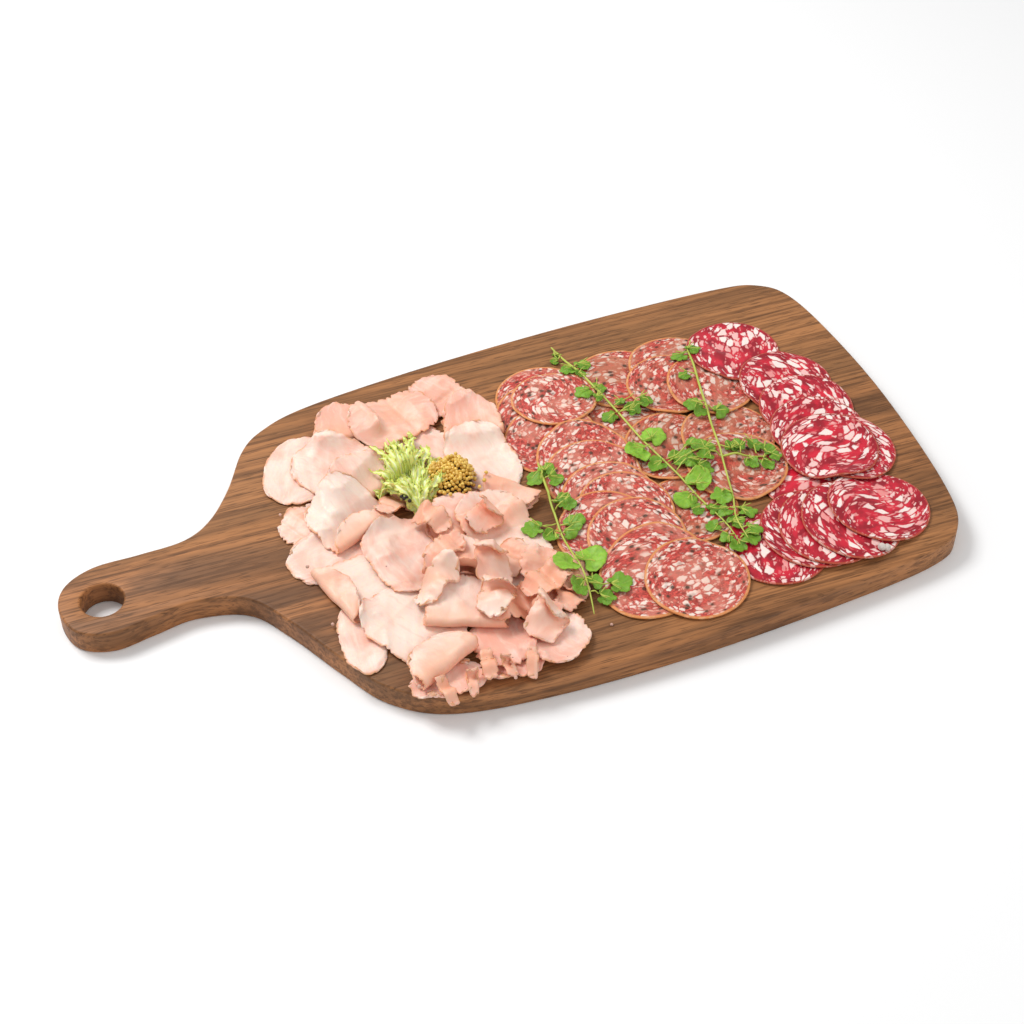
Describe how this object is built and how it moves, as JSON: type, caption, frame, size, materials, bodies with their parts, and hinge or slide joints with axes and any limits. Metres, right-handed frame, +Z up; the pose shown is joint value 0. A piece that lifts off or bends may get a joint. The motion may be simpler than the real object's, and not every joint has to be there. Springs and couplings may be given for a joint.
{
  "type": "charcuterie board",
  "caption": "Walnut paddle board with a holed handle, laid with folded sliced ham, peppered and red salami, curly leaf and a mound of mustard seeds.",
  "frame": {"origin": "under the middle of the board, on the surface it rests on", "axes": "+X from the handle to the far end, +Y to the board's back edge, +Z up"},
  "size_m": [0.5101, 0.2756, 0.0449],
  "materials": {
    "walnut": "oiled",
    "peppered_salami": "moist satin",
    "red_salami": "moist satin",
    "ham": "moist satin",
    "leaf": "fresh leaf",
    "mustard": "wet seeds"
  },
  "bodies": {
    "root": {"board": "walnut", "frisee": "leaf", "ham_centre": "ham", "ham_cone": "ham", "ham_dished": "ham", "ham_fan": "ham", "ham_kite": "ham", "ham_left_crumple": "ham", "ham_left_fold": "ham", "ham_left_low": "ham", "ham_left_oval": "ham", "ham_left_pale": "ham", "ham_left_rolled": "ham", "ham_left_speckled": "ham", "ham_left_upper": "ham", "ham_loops": "ham", "ham_middle": "ham", "ham_peak": "ham", "ham_pink_flat": "ham", "ham_pink_strips": "ham", "ham_ragged_front": "ham", "ham_right_dome": "ham", "ham_right_flat": "ham", "ham_right_low": "ham", "ham_right_roll": "ham", "ham_roll": "ham", "ham_top_left": "ham", "ham_top_ridge": "ham", "ham_triangle": "ham", "mustard_seeds": "mustard", "peppered_row_01": "peppered_salami", "peppered_row_02": "peppered_salami", "peppered_row_03": "peppered_salami", "peppered_row_04": "peppered_salami", "peppered_row_05": "peppered_salami", "peppered_row_06": "peppered_salami", "peppered_row_07": "peppered_salami", "peppered_row_08": "peppered_salami", "peppered_row_09": "peppered_salami", "peppered_row_10": "peppered_salami", "peppered_row_11": "peppered_salami", "peppered_row_12": "peppered_salami", "peppered_spread_01": "peppered_salami", "peppered_spread_02": "peppered_salami", "peppered_spread_03": "peppered_salami", "peppered_spread_04": "peppered_salami", "peppered_spread_05": "peppered_salami", "peppered_spread_06": "peppered_salami", "peppered_spread_07": "peppered_salami", "red_fan_01": "red_salami", "red_fan_02": "red_salami", "red_fan_03": "red_salami", "red_fan_04": "red_salami", "red_fan_05": "red_salami", "red_row_01": "red_salami", "red_row_02": "red_salami", "red_row_03": "red_salami", "red_row_04": "red_salami", "red_row_05": "red_salami", "red_row_06": "red_salami"}
  },
  "joints": []
}
